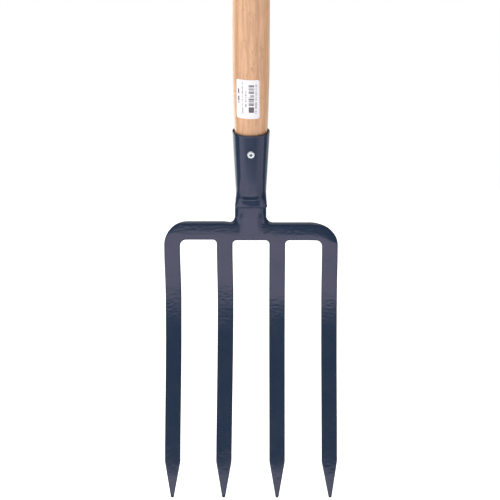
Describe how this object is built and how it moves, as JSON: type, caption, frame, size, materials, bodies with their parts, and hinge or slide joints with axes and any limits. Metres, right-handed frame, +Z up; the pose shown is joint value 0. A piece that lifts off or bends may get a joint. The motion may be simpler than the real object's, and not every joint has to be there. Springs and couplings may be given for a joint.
{
  "type": "digging fork",
  "caption": "Digging fork: flat pointed tines on a round-shouldered crossbar, a cranked steel head with a rolled socket, and a turned beech shaft with a T-handle.",
  "frame": {"origin": "on the ground, midway between the two middle tine tips and in the middle of their thickness", "axes": "+X along the crossbar, to the right as the face of the fork is seen; +Y backwards, away from the face, so the handle leans towards -Y; +Z up along the straight tines, towards the handle"},
  "size_m": [0.1782, 0.2683, 1.0577],
  "materials": {
    "enamelled_steel": "gloss, slightly rippled stoving paint",
    "zinc_plated_steel": "bright zinc plate",
    "beech": "sanded, waxed",
    "dark_hardwood": "end grain, sanded flush",
    "label_paper": "smooth printed label"
  },
  "bodies": {
    "root": {"fork_blade": "enamelled_steel", "socket": "enamelled_steel", "socket_weld": "enamelled_steel", "socket_screw": "zinc_plated_steel", "shaft": "beech", "t_grip": "beech", "tenon_wedge": "dark_hardwood", "grip_pin": "zinc_plated_steel", "barcode_label": "label_paper"}
  },
  "joints": []
}
